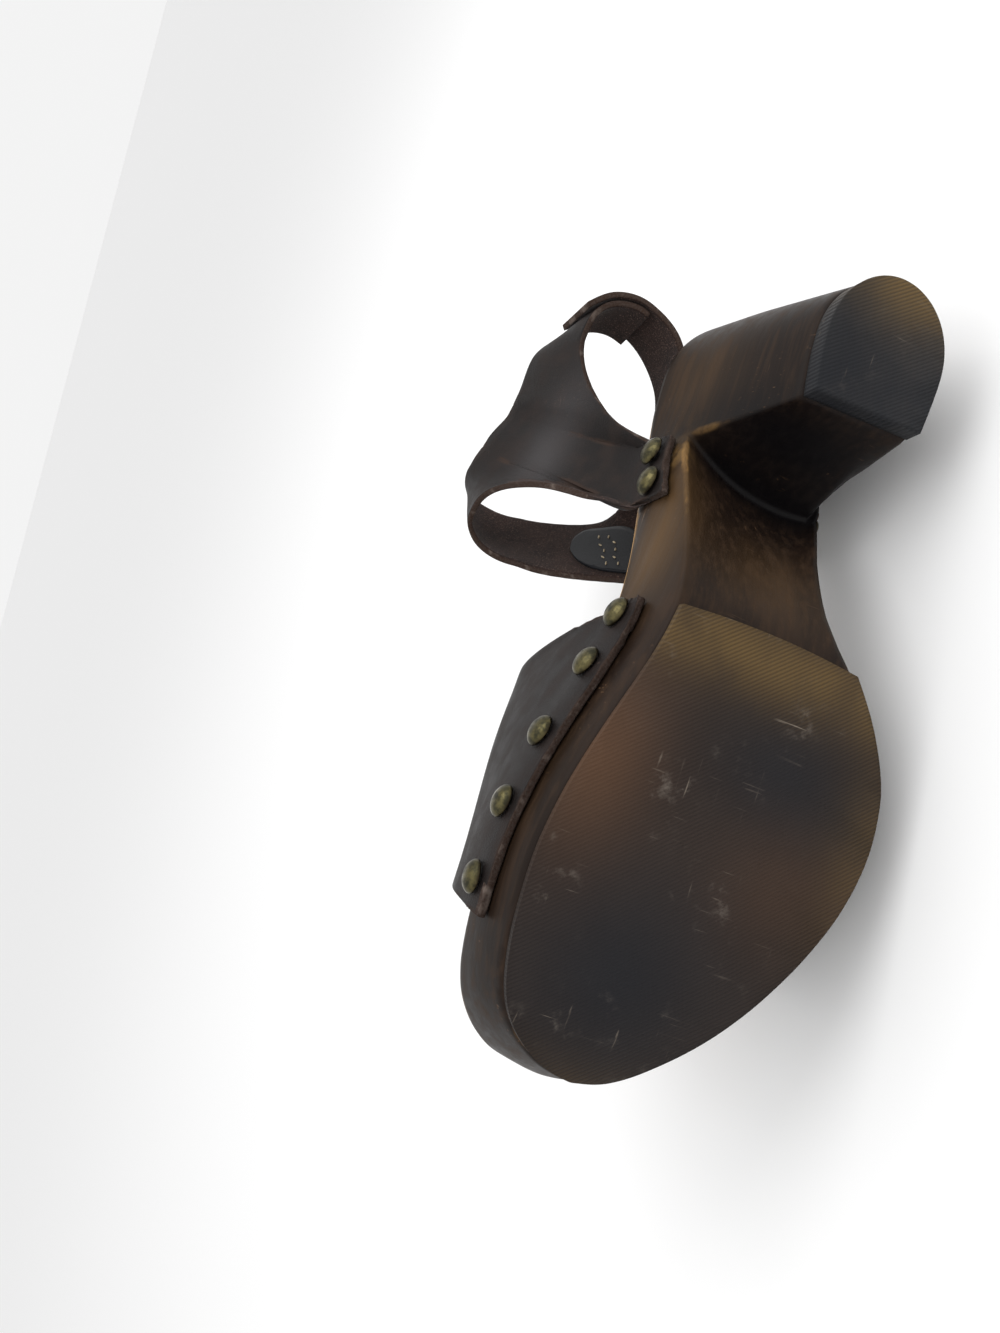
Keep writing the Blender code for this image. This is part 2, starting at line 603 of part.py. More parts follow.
def make_fore_strap(turn):
    rows = []
    for i in range(13):
        line = fore_line(i / 12)
        n = len(line) - 1
        ts = [0, 0.5, 1, 1.5, 2, 2.5, 3, 3.35, 3.7, 4, 4.35, 4.7, 5, 5.3, 5.65]
        ts = ts + [6] + [n - t for t in reversed(ts)]
        rows.append([strand(line, t) for t in ts])
    return band("forefoot_strap", rows, LEATHER, (0.035, 0.02, 0.016), 0.5, turn)


ANKLE_ROWS = []         # each row has six points, from the strap's lower to its upper edge
ANKLE_CORNERS = []      # rows where the lower edge turns sharply


def plain_row(low, high, out, pinch):
    """Row of the strap where it stands free. Its middle bows by out, and its points crowd low near a studded end."""
    low, high = np.asarray(low, float), np.asarray(high, float)
    shares = [0.0, 0.2 - 0.12 * pinch, 0.4 - 0.22 * pinch, 0.6 - 0.34 * pinch, 0.8 - 0.2 * pinch, 1.0]
    return [low + (high - low) * k + np.asarray(out) * math.sin(math.pi * k) for k in shares]


def fixed_row(side, y, z, high, out):
    """Row where the strap is studded to the wood: up the side, past the footbed edge and on to its upper edge."""
    off = GAP + TAB_CLEAR[side] + LEATHER / 2
    high = np.asarray(high, float)
    top = side_skin(side, y, 1.0, off)[0]
    panel = top + np.array([0, 0, INSOLE_THICK + 2.2])
    panel = panel + (high - panel) * 0.48 + np.asarray(out)
    if z > top[2]:
        low = np.array([top[0], top[1], z])
        return [low] + [low + (panel - low) * f for f in (0.03, 0.06, 0.13)] + [panel, high]
    h = height_on_side(side, y, z)
    low = side_skin(side, y, h, off)[0]
    half = side_skin(side, y, (h + 0.97) / 2, off)[0]
    edge = side_skin(side, y, 0.97, off)[0]
    return [low, half, edge, top + np.array([0, 0, INSOLE_THICK + 2.2]), panel, high]


def ankle_table():
    rows, corners = [], []
    for i, (lo, hi) in enumerate(zip(ANKLE_BACK_INNER["low"], ANKLE_BACK_INNER["high"])):
        share = min(1.0, i / 4)
        pinch = max(0.0, (i - 5) / 3)
        rows.append(plain_row(lo, hi, (-1.2 * share, -0.6 * share, 0.4 * share), pinch))
    for side, tab, out in ((0, ANKLE_TAB_INNER, (1.0, 0.6, 0.0)), (1, ANKLE_TAB_OUTER, (3.0, 0.0, 3.0))):
        for y, z, hi in zip(tab["edge_y"], tab["edge_z"], tab["high"]):
            corners.append(len(rows))
            rows.append(fixed_row(side, y, z, hi, out))
        loose = ANKLE_FRONT if side == 0 else ANKLE_BACK_OUTER
        for i, (lo, hi) in enumerate(zip(loose["low"], loose["high"])):
            if side == 0:
                last = len(loose["low"]) - 1
                share = math.sin(math.pi * i / last)
                out_way = (-0.6 * share, 1.6 * share, 1.2 * share)
                pinch = max(0.0, 1 - min(i, last - i) / 3)
            else:
                share = max(0.0, 1.0 - i / 6)
                out_way = (1.0 * share, -0.4 * share, 0.6 * share)
                pinch = max(0.0, 1 - i / 3)
            rows.append(plain_row(lo, hi, out_way, pinch))
    return rows, corners


def ankle_point(t, v):
    """Point on the middle of the ankle strap, at place t along it and v from its lower (0) to upper edge (1)."""
    return strand([strand([r[k] for r in ANKLE_ROWS], t, ANKLE_CORNERS if k < 4 else ()) for k in range(6)], 5 * v)


def ankle_normal(t, v):
    d = 0.02
    last = len(ANKLE_ROWS) - 1
    along = ankle_point(min(t + d, last), v) - ankle_point(max(t - d, 0), v)
    across = ankle_point(t, min(v + d, 1)) - ankle_point(t, max(v - d, 0))
    return unit(np.cross(along, across))


def make_ankle_strap(turn):
    rows, last = [], len(ANKLE_ROWS) - 1
    count = last * ANKLE_STEP
    for i in range(count + 1):
        t = last * i / count
        rows.append([ankle_point(t, v) for v in ANKLE_CUTS])
    grid = np.array(rows)
    along, across = np.gradient(grid, axis=0), np.gradient(grid, axis=1)
    for first in (ANKLE_CORNERS[0], ANKLE_CORNERS[5]):
        a, e = first * ANKLE_STEP, (first + 4) * ANKLE_STEP
        along[a] = grid[a] - grid[a - 1]
        along[a + 1] = along[a + 2] = grid[a + 3] - grid[a + 2]
        along[e - 1] = along[e - 2] = grid[e - 2] - grid[e - 3]
        along[e] = grid[e + 1] - grid[e]
    normals = np.cross(along, across)
    normals /= np.maximum(np.linalg.norm(normals, axis=2, keepdims=True), 1e-9)
    return band("ankle_strap", rows, LEATHER, (0.035, 0.02, 0.016), 0.5, turn, normals)


def make_shield(turn):
    """Half-round shield on the flesh side of the instep band, following the strap."""
    t0, t1 = SHIELD_ALONG
    rows = []
    off = LEATHER / 2 + GAP + 0.45
    for f in SHIELD_CUTS:
        t = t0 + (t1 - t0) * f
        reach = 0.02 + (SHIELD_ACROSS[1] - 0.02) * math.sqrt(1 - (1 - min(1.0, f / SHIELD_NOSE)) ** 2)
        row = []
        for j in range(6):
            v = SHIELD_ACROSS[0] + reach * (2 * j / 5 - 1)
            n = ankle_normal(t, v)
            row.append((ankle_point(t, v), n))
        rows.append(row)
    sign = inside_sign()
    near = [[p + sign * n * off for p, n in row] for row in rows]
    far = [[p + sign * n * (off + SHIELD_THICK) for p, n in row] for row in rows]
    skin = Skin()
    skin.grid(near)
    skin.grid(far)
    for col in (0, -1):
        skin.grid([[near[i][col], far[i][col]] for i in range(len(near))])
    for row in (0, -1):
        skin.grid([near[row], far[row]])
    return skin.solid("inner_shield", (0.02, 0.012, 0.01), 0.45, turn)


def inside_sign():
    """Which way along the strap's normal the foot lies."""
    t = sum(SHIELD_ALONG) / 2
    inward = np.array(ANKLE_MIDDLE) - ankle_point(t, 0.5)
    return 1.0 if np.dot(inward, ankle_normal(t, 0.5)) > 0 else -1.0


def make_stud(name, foot, out, turn):
    """Domed stud with its rim on the leather."""
    out = unit(out)
    x = unit(np.cross(out, np.array([0, 0, 1.0])))
    y = np.cross(out, x)
    profile = [(0.0, 0.0), (STUD_RADIUS, 0.0), (STUD_RADIUS, 0.7), (STUD_RADIUS * 0.86, 1.75),
               (STUD_RADIUS * 0.52, 2.7), (0.0, STUD_HEIGHT)]
    skin = Skin()
    rows = []
    for k in range(STUD_SIDES + 1):
        a = 2 * math.pi * (k % STUD_SIDES) / STUD_SIDES
        rows.append([foot + (x * math.cos(a) + y * math.sin(a)) * r + out * h for r, h in profile])
    skin.grid(rows)
    return skin.solid(name, (0.30, 0.22, 0.10), 0.35, turn)


def make_studs(turn):
    made = []
    groups = [("forefoot_stud_inner", 0, FORE_STUDS), ("forefoot_stud_outer", 1, FORE_STUDS),
              ("ankle_stud_inner", 0, ANKLE_STUDS_INNER), ("ankle_stud_outer", 1, ANKLE_STUDS_OUTER)]
    for name, side, table in groups:
        for n, (y, z) in enumerate(zip(table["y"], table["z"])):
            h = height_on_side(side, y, z)
            strap = name.split("_")[0]
            clear = TAB_CLEAR[side] if strap == "ankle" else FORE_CLEAR
            off = GAP + clear + LEATHER + GAP + STUD_CLEAR[strap]
            foot, out = side_skin(side, y, h, off)
            made.append(make_stud(f"{name}_{n + 1}", foot, out, turn))
    return made


def build_all(turn):
    ANKLE_ROWS.clear()
    ANKLE_CORNERS.clear()
    rows, corners = ankle_table()
    ANKLE_ROWS.extend(rows)
    ANKLE_CORNERS.extend(corners)
    return [make_wood(turn), make_insole(turn), make_sheet(turn), make_lift(turn), make_fore_strap(turn),
            make_ankle_strap(turn), make_shield(turn)] + make_studs(turn)


def mass_centre(objs, density):
    """Centre of mass of the closed pieces, each with its own density."""
    total, moment = 0.0, Vector()
    for o in objs:
        rho = next(d for key, d in density.items() if o.name.startswith(key))
        for tri in o.data.polygons:
            a, b, c = (o.data.vertices[i].co for i in tri.vertices)
            vol = a.dot(b.cross(c)) / 6 * rho
            total += vol
            moment += (a + b + c) / 4 * vol
    return moment / total, total


def resting_turn(objs):
    """Lays the standing shoe on the face of its hull that lies nearest the outer side and holds the weight."""
    bm = bmesh.new()
    for o in objs:
        for v in o.data.vertices:
            bm.verts.new(v.co)
    bmesh.ops.remove_doubles(bm, verts=bm.verts, dist=0.00001)
    hull = bmesh.ops.convex_hull(bm, input=bm.verts, use_existing_faces=False)
    centre, _ = mass_centre(objs, DENSITY)
    best = None
    for f in (g for g in hull["geom"] if isinstance(g, bmesh.types.BMFace)):
        n = f.normal.copy()
        if n.dot(f.calc_center_median() - centre) < 0:
            n.negate()
        foot = centre + n * n.dot(f.verts[0].co - centre)
        pts = [v.co for v in f.verts]
        inside = all((pts[(i + 1) % 3] - pts[i]).cross(foot - pts[i]).dot(
            (pts[(i + 1) % 3] - pts[i]).cross(pts[(i + 2) % 3] - pts[i])) > 0 for i in range(3))
        score = n.dot(REST_SIDE.normalized())
        if inside and (best is None or score > best[0]):
            best = (score, n)
    bm.free()
    down = best[1]
    turn = down.rotation_difference(Vector((0, 0, -1))).to_matrix().to_4x4()
    toe = turn @ Vector((0, 1, 0))
    spin = Matrix.Rotation(math.pi / 2 - math.atan2(toe.y, toe.x), 4, "Z")
    turn = spin @ turn
    corners = [turn @ v.co for o in objs for v in o.data.vertices]
    lo = Vector(min(c[k] for c in corners) for k in range(3))
    hi = Vector(max(c[k] for c in corners) for k in range(3))
    return Matrix.Translation(Vector((-(lo.x + hi.x) / 2, -(lo.y + hi.y) / 2, -lo.z))) @ turn


def main():
    for o in list(bpy.data.objects):
        bpy.data.objects.remove(o, do_unlink=True)
    standing = build_all(Matrix.Identity(4))
    turn = resting_turn(standing)
    for o in standing:
        bpy.data.objects.remove(o, do_unlink=True)
    for block in (bpy.data.meshes, bpy.data.materials):
        for item in list(block):
            block.remove(item)
    home = bpy.data.collections.new("wooden_sole_sandal")
    bpy.context.scene.collection.children.link(home)
    for o in build_all(turn):
        home.objects.link(o)


main()
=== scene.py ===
import math

import bmesh
import bpy
from mathutils import Matrix, Vector, noise as ripple
from mathutils.kdtree import KDTree


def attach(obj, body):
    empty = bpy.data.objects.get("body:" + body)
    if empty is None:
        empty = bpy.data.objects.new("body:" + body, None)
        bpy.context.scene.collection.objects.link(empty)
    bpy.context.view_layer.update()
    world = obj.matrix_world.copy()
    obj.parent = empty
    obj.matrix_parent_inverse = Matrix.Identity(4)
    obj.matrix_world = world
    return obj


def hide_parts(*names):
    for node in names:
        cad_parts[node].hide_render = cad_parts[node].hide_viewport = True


bl_info = {
    "name": "Wooden sole sandal",
    "version": (1, 0, 0),
    "blender": (4, 5, 0),
    "location": "View3D > Sidebar > Sandal",
    "description": "Dresses a studded sandal with a carved wooden sole",
    "category": "Object",
}

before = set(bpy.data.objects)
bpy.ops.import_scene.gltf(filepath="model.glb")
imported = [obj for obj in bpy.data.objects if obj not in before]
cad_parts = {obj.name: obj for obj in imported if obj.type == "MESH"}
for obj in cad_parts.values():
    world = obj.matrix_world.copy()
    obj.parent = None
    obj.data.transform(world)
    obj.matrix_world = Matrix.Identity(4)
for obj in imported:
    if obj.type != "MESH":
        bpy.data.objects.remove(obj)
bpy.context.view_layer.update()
MM = 0.001

# how the standing sandal is turned to lie on its outer side: row position = TURN @ standing position
TURN = Matrix(((-0.19731, 0.0, 0.98034, -0.08324),
               (0.12311, 0.99208, 0.02478, -0.11758),
               (-0.97258, 0.12558, -0.19575, 0.04121),
               (0.0, 0.0, 0.0, 1.0)))
STAND = TURN.inverted()

# camera of the photograph, in the standing sandal's millimetres: place, right, down and forward
CAMERA_PLACE = Vector((-127.3, 177.5, -233.3))
CAMERA_RIGHT = Vector((0.9016, -0.3344, -0.2743))
CAMERA_DOWN = Vector((0.353, 0.9354, 0.02))
CAMERA_FORWARD = Vector((0.2499, -0.1149, 0.9614))

FORE_STUDS = [f"forefoot_stud_{side}_{n}" for side in ("inner", "outer") for n in range(1, 6)]
ANKLE_STUDS = [f"ankle_stud_{side}_{n}" for side in ("inner", "outer") for n in (1, 2)]

# patches of wear, stain, lighter tone, painted shade and painted highlight on the standing sandal: centre and
# reach in millimetres, and strength
EVERY = 400             # reach of a patch that doesn't fade that way
# bare amber wood and a painted highlight at the notch where the medial ridge meets the heel breast
NOTCH = [((-29, 62, 40), (5, 10, 7), 0.7)]
RUBBED = [((-34, 72, 38), (16, 40, 18), 1.4), ((-14, 247, 22), (40, 22, 30), 0.8),
          ((-46, 150, 14), (12, 60, 20), 0.45)]
# worn amber wood and a painted highlight along the medial ridge
RIDGE_WEAR_AND_HIGHLIGHT = [((-31, 84, 34), (9, 34, 14), 0.85)]
# lighter amber patches on the waist, the medial forefoot and the heel side
LIGHTER_AMBER_PATCHES = [((-27, 92, 30), (9, 30, 14), 0.7), ((2, 100, 24), (28, 13, 20), 0.35),
              ((-46, 160, 22), (8, 30, 16), 0.28), ((-24, 34, 52), (8, 18, 20), 0.25)]
# painted shade: the heel breast and the lateral waist next to it darkened to near black
PAINTED_SHADE_PATCHES = [((2, 52, 26), (30, 9, 22), 1.1), ((20, 66, 44), (20, 14, 16), 1.0),
              ((-4, 56, 44), (16, 7, 9), 0.8), ((6, 62, 46), (24, 8, 7), 1.0)]
SHEET_AMBER = [((-2, 122, 8), (EVERY, 10, EVERY), 0.75), ((48, 164, 6), (11, 32, EVERY), 0.36),
               ((-12, 246, 10), (40, 9, EVERY), 0.3)]
SHEET_DARK = [((18, 150, 4), (24, 17, EVERY), 0.8), ((-10, 212, 4), (32, 30, EVERY), 0.85)]
RUBBER_RUSTED = [((-36, 160, 6), (15, 24, EVERY), 0.62), ((26, 178, 6), (22, 16, EVERY), 0.2)]
LIFT_AMBER = [((10, 6, 0), (22, 13, EVERY), 1.0)]
LIFT_DARK = [((-3, 40, 0), (16, 18, EVERY), 0.75)]
# painted sheen highlight on the ankle band
LEATHER_PAINTED_SHEEN = [((-50, 60, 108), (10, 20, 14), 0.8), ((-45, 36, 96), (12, 12, 14), 0.35)]
RIBS_TURN = 41.0        # degrees

# colours that the finishes mix in
WOOD_BROAD = (0.038, 0.021, 0.0125, 1)
WOOD_RUBBED = (0.120, 0.066, 0.026, 1)
WOOD_LIGHTER_AMBER = (0.105, 0.058, 0.022, 1)
# bare amber wood and painted highlight at the notch
WOOD_NOTCH = (0.25, 0.145, 0.050, 1)
WOOD_SHADOW = (0.0035, 0.0030, 0.0035, 1)
WOOD_SCRATCH = (0.26, 0.15, 0.08, 1)
INSOLE_SHADE = (0.24, 0.115, 0.038, 1)
INSOLE_EDGE = (0.50, 0.28, 0.095, 1)
SHEET_SECOND = (0.034, 0.024, 0.019, 1)
LIFT_SECOND = (0.036, 0.034, 0.034, 1)
RIB_GROOVE = (0.006, 0.005, 0.005, 1)
RUBBER_DARK = (0.0125, 0.0135, 0.0165, 1)
RUBBER_RUST = (0.115, 0.058, 0.030, 1)
RUBBER_SCRATCH = (0.36, 0.30, 0.24, 1)
LEATHER_SECOND = (0.0200, 0.0145, 0.0128, 1)
# colour of the painted sheen highlight on the ankle band
LEATHER_SHEEN_TONE = (0.052, 0.048, 0.049, 1)
LEATHER_RIM = (0.070, 0.042, 0.030, 1)
LEATHER_SCRATCH = (0.14, 0.10, 0.08, 1)
SUEDE_SHADE = (0.019, 0.0120, 0.0105, 1)
SUEDE_NAP = (0.200, 0.125, 0.100, 1)
RAW_SHADE = (0.035, 0.020, 0.014, 1)
RAW_PALE = (0.17, 0.135, 0.115, 1)
BRASS_RIM = (0.03, 0.02, 0.012, 1)
SHIELD_FACE = (0.0075, 0.0080, 0.0100, 1)

# rounding of the pieces: levels, and for each the bend in degrees that counts as a sharp edge and how firmly
# such an edge keeps its line
ROUNDING = 2
WOOD_EDGES = (32, 0.93)
INSOLE_EDGES = (40, 0.8)
RUBBER_EDGES = (40, 1.0)
STRAP_EDGES = (50, 0.75)
SHIELD_EDGES = (50, 0.7)
STUD_EDGES = (60, 0.7)

LINE_STEP = 0.6 * MM    # from one point on a sharp edge to the next

# a cut edge of a strap: how far it bends from its neighbours, its width, and the length of its second side
CUT_BEND = math.radians(55)
CUT_WIDTH = 2.6 * MM
CUT_SECOND = 3.4 * MM

FRAY_SEED = 1           # tears the edges alike in each run

# the shield and its stitches, in the standing sandal: nose, root, the way from its upper to its lower
# edge, half width, and the stitches' places along its length and across its half width
SHIELD_NOSE = Vector((-21.4, 82.0, 128.0)) * MM
SHIELD_ROOT = Vector((-4.5, 77.0, 103.0)) * MM
SHIELD_DOWN = Vector((0.0, 0.61, -0.79))
SHIELD_HALF = 17 * MM
STITCH_COLUMNS = (0.44, 0.60)
STITCH_ROWS = (-0.36, -0.06, 0.24, 0.54, 0.84)
STITCH_RADIUS = 1.0 * MM
STITCH_SHAPE = (1.15, 0.34, 0.34, 1.0)      # stretch along the stitch, across it and upwards
STITCH_LIFT = 0.15 * MM

# lamps: offset from the camera to the right, down and forward in metres, size and power
CAMERA_LAMPS = {"key": ((-0.30, -0.55, 0.05), 0.6, 2.2), "fill": ((0.55, 0.15, 0.0), 0.8, 0.5)}
TOP_LAMP_PLACE = Vector((0.05, 0.1, 0.9))
TOP_LAMP_SIZE = 0.9
TOP_LAMP_POWER = 1.2
LAMP_LOWEST = 0.2
LAMP_TARGET = Vector((0.0, 0.0, 0.05))
SKY_STRENGTH = 0.90
FLOOR_SIZE = 60.0

# soft creases pressed into the straps, in the standing sandal's millimetres:
# ends of the crease, its half width and how deep it goes (a ridge is negative)
FORE_CREASES = [
    {"a": (-38, 128, 52), "b": (-30, 140, 82), "width": 4.0, "depth": 0.5},
    {"a": (-40, 205, 46), "b": (-30, 196, 66), "width": 3.5, "depth": 0.5},
    {"a": (10, 158, 97), "b": (24, 176, 80), "width": 5.0, "depth": -0.5},
    {"a": (-12, 160, 96), "b": (-30, 176, 80), "width": 5.0, "depth": 0.6},
]
ANKLE_CREASES = [
    {"a": (-60, 70, 118), "b": (-66, 60, 150), "width": 3.0, "depth": 0.6},
    {"a": (-60, 86, 134), "b": (-56, 68, 166), "width": 3.5, "depth": -0.7},
    {"a": (-50, 10, 104), "b": (-56, 8, 128), "width": 4.0, "depth": 0.7},
    {"a": (-36, -3, 98), "b": (-36, -1, 121), "width": 4.0, "depth": -0.5},
    {"a": (0, 36, 90), "b": (-8, 36, 120), "width": 4.0, "depth": 0.6},
    {"a": (-45, 70, 80), "b": (-56, 56, 120), "width": 4.0, "depth": 0.6},
    {"a": (-40, 96, 131), "b": (-38, 72, 161), "width": 4.0, "depth": 0.5},
]


# sizes and colours

def colour(name, description, default):
    return bpy.props.FloatVectorProperty(name=name, description=description, default=default, size=4,
                                         min=0.0, max=1.0, subtype="COLOR")


class SANDAL_PG_wood(bpy.types.PropertyGroup):
    """Finish of the wooden sole"""
    dark: colour("Stain", "Dark stain of the wood", (0.0105, 0.0062, 0.0045, 1))
    streak: colour("Grain", "Lighter grain under the stain", (0.0270, 0.0155, 0.0095, 1))
    worn: colour("Worn edge", "Bare amber wood where the edges are rubbed", (0.26, 0.145, 0.048, 1))
    wear_reach: bpy.props.FloatProperty(name="Wear reach", description="How far the wear runs in from an edge",
                                        default=1.6 * MM, unit="LENGTH")
    insole: colour("Insole", "Tan leather of the footbed", (0.40, 0.21, 0.07, 1))


class SANDAL_PG_rubber(bpy.types.PropertyGroup):
    """Finish of the ribbed rubber"""
    sheet: colour("Forefoot rubber", "Dark rubber under the forefoot", (0.029, 0.0205, 0.0165, 1))
    lift: colour("Heel rubber", "Blue-black rubber of the lift", (0.020, 0.021, 0.024, 1))
    amber: colour("Rubbed band", "Amber band along the rubbed edges", (0.150, 0.094, 0.034, 1))
    scuff: colour("Scuff", "Pale dusty scuffs", (0.30, 0.26, 0.22, 1))
    rib_pitch: bpy.props.FloatProperty(name="Rib pitch", description="Distance from one rib to the next",
                                       default=1.0 * MM, unit="LENGTH")


class SANDAL_PG_leather(bpy.types.PropertyGroup):
    """Finish of the straps"""
    face: colour("Leather", "Smooth outer face", (0.0100, 0.0078, 0.0074, 1))
    suede: colour("Suede", "Flesh side of the strap", (0.034, 0.0195, 0.0160, 1))
    raw: colour("Raw edge", "Cut edge of the leather", (0.055, 0.040, 0.034, 1))
    thread: colour("Thread", "Sewing thread", (0.42, 0.35, 0.24, 1))
    grain: bpy.props.FloatProperty(name="Grain", description="Size of the pebbles in the leather",
                                   default=0.9 * MM, unit="LENGTH")


class SANDAL_PG_studs(bpy.types.PropertyGroup):
    """Finish of the studs"""
    brass: colour("Brass", "Bright part of the stud", (0.112, 0.096, 0.044, 1))
    tarnish: colour("Tarnish", "Dark part of the stud", (0.036, 0.034, 0.021, 1))


class SANDAL_PG_stage(bpy.types.PropertyGroup):
    """Floor, light and camera"""
    lens: bpy.props.FloatProperty(name="Lens", description="Focal length on a 36 mm long side",
                                  default=27.0, unit="CAMERA")
    floor: colour("Floor", "Pale floor", (0.92, 0.92, 0.92, 1))


# shader helpers

def node(tree, kind, values=None, **settings):
    """Adds a node. A value that is a socket is linked, any other is set."""
    made = tree.nodes.new(kind)
    for key, value in settings.items():
        setattr(made, key, value)
    for key, value in (values or {}).items():
        if isinstance(value, bpy.types.NodeSocket):
            tree.links.new(value, made.inputs[key])
        else:
            made.inputs[key].default_value = value
    return made


def calc(tree, operation, a, b=0.0, clamp=False):
    return node(tree, "ShaderNodeMath", {0: a, 1: b}, operation=operation, use_clamp=clamp).outputs[0]


def span(tree, value, low, high, to_low=0.0, to_high=1.0):
    """Maps low..high to to_low..to_high with soft ends."""
    return node(tree, "ShaderNodeMapRange", {0: value, 1: low, 2: high, 3: to_low, 4: to_high},
                interpolation_type="SMOOTHSTEP").outputs[0]


def mix(tree, factor, a, b, blend="MIX"):
    made = node(tree, "ShaderNodeMix", {0: factor, 6: a, 7: b}, data_type="RGBA", blend_type=blend)
    return made.outputs[2]


def noise(tree, place, scale, detail=3.0, rough=0.55, stretch=None):
    if stretch is not None:
        place = node(tree, "ShaderNodeMapping", {0: place, 3: stretch}).outputs[0]
    return node(tree, "ShaderNodeTexNoise",
                {"Vector": place, "Scale": scale, "Detail": detail, "Roughness": rough}).outputs[0]


def attribute(tree, name, vector=False):
    made = node(tree, "ShaderNodeAttribute", attribute_name=name)
    return made.outputs[1 if vector else 2]


def patch(tree, place, centre, size, strength=1.0):
    """Soft round patch, in the standing sandal's millimetres: strongest at its centre, fading over size."""
    kind = "ShaderNodeVectorMath"
    away = node(tree, kind, {0: place, 1: [c * MM for c in centre]}, operation="SUBTRACT").outputs[0]
    away = node(tree, kind, {0: away, 1: [c * MM for c in size]}, operation="DIVIDE").outputs[0]
    near = node(tree, kind, {0: away, 1: away}, operation="DOT_PRODUCT").outputs["Value"]
    fall = calc(tree, "POWER", 0.36788, near)       # 1 / e
    return calc(tree, "MULTIPLY", fall, strength)


def patches(tree, place, rows, most=1.0):
    """Sum of several soft patches, held under a limit."""
    total = 0.0
    for centre, size, strength in rows:
        total = calc(tree, "ADD", total, patch(tree, place, centre, size, strength))
    return calc(tree, "MINIMUM", total, most)


def group(name, inputs, outputs, fill):
    """Shader node group with named sockets, built once."""
    if name in bpy.data.node_groups:
        return bpy.data.node_groups[name]
    tree = bpy.data.node_groups.new(name, "ShaderNodeTree")
    for label, kind, value in inputs:
        made = tree.interface.new_socket(name=label, in_out="INPUT", socket_type=kind)
        if value is not None:
            made.default_value = value
    for label, kind in outputs:
        tree.interface.new_socket(name=label, in_out="OUTPUT", socket_type=kind)
    start, end = tree.nodes.new("NodeGroupInput"), tree.nodes.new("NodeGroupOutput")
    for label, socket in fill(tree, start.outputs).items():
        tree.links.new(socket, end.inputs[label])
    return tree


def use(tree, made_group, values):
    made = tree.nodes.new("ShaderNodeGroup")
    made.node_tree = made_group
    for key, value in values.items():
        if isinstance(value, bpy.types.NodeSocket):
            tree.links.new(value, made.inputs[key])
        else:
            made.inputs[key].default_value = value
    return made.outputs


def edge_wear_group():
    """Breaks a mask of the edges up into rubbed patches."""
    def fill(tree, ins):
        broken = span(tree, noise(tree, ins["Place"], 60.0, 4.0), 0.34, 0.68)
        fine = noise(tree, ins["Place"], 520.0, 3.0, 0.65)
        reach = calc(tree, "ADD", calc(tree, "MULTIPLY", broken, ins["Amount"]),
                     calc(tree, "MULTIPLY", fine, 0.35))
        return {"Wear": span(tree, calc(tree, "MULTIPLY", ins["Mask"], reach), 0.22, 0.75)}
    return group("Rubbed edge", [("Place", "NodeSocketVector", None), ("Mask", "NodeSocketFloat", 0.0),
                                 ("Amount", "NodeSocketFloat", 1.0)], [("Wear", "NodeSocketFloat")], fill)


def scuff_group():
    """Long thin scratches and soft dusty patches."""
    def fill(tree, ins):
        a = noise(tree, ins["Place"], 900.0, 2.0, 0.5, (0.05, 1.0, 0.6))
        b = noise(tree, ins["Place"], 700.0, 2.0, 0.5, (1.0, 0.06, 0.6))
        where = span(tree, noise(tree, ins["Place"], 42.0, 3.0), 0.5, 0.72)
        lines = calc(tree, "MAXIMUM", span(tree, a, 0.66, 0.74), span(tree, b, 0.67, 0.75))
        dust = span(tree, noise(tree, ins["Place"], 150.0, 6.0, 0.7), 0.52, 0.8)
        return {"Scratch": calc(tree, "MULTIPLY", lines, where), "Dust": calc(tree, "MULTIPLY", dust, where)}
    return group("Scuffs", [("Place", "NodeSocketVector", None)],
                 [("Scratch", "NodeSocketFloat"), ("Dust", "NodeSocketFloat")], fill)


def pebble_group():
    """Leather grain: small cells with fine pores."""
    def fill(tree, ins):
        cell = node(tree, "ShaderNodeTexVoronoi", {"Vector": ins["Place"], "Scale": ins["Scale"]},
                    feature="DISTANCE_TO_EDGE").outputs[0]
        pore = noise(tree, ins["Place"], 2600.0, 3.0, 0.6)
        soft = noise(tree, ins["Place"], 110.0, 3.0, 0.5)
        body = calc(tree, "ADD", calc(tree, "MULTIPLY", span(tree, cell, 0.0, 0.25), 0.5),
                    calc(tree, "MULTIPLY", pore, 0.35))
        return {"Height": calc(tree, "ADD", body, calc(tree, "MULTIPLY", soft, 0.9)), "Soft": soft}
    return group("Leather grain", [("Place", "NodeSocketVector", None), ("Scale", "NodeSocketFloat", 900.0)],
                 [("Height", "NodeSocketFloat"), ("Soft", "NodeSocketFloat")], fill)


def new_finish(name):
    mat = bpy.data.materials.new(name)
    mat.use_nodes = True
    tree = mat.node_tree
    shader = tree.nodes["Principled BSDF"]
    return mat, tree, shader, attribute(tree, "standing", True)


def join(tree, socket, shader, key):
    tree.links.new(socket, shader.inputs[key])


def bump(tree, shader, height, strength, distance):
    made = node(tree, "ShaderNodeBump", {"Strength": strength, "Distance": distance, "Height": height})
    join(tree, made.outputs[0], shader, "Normal")


# finishes

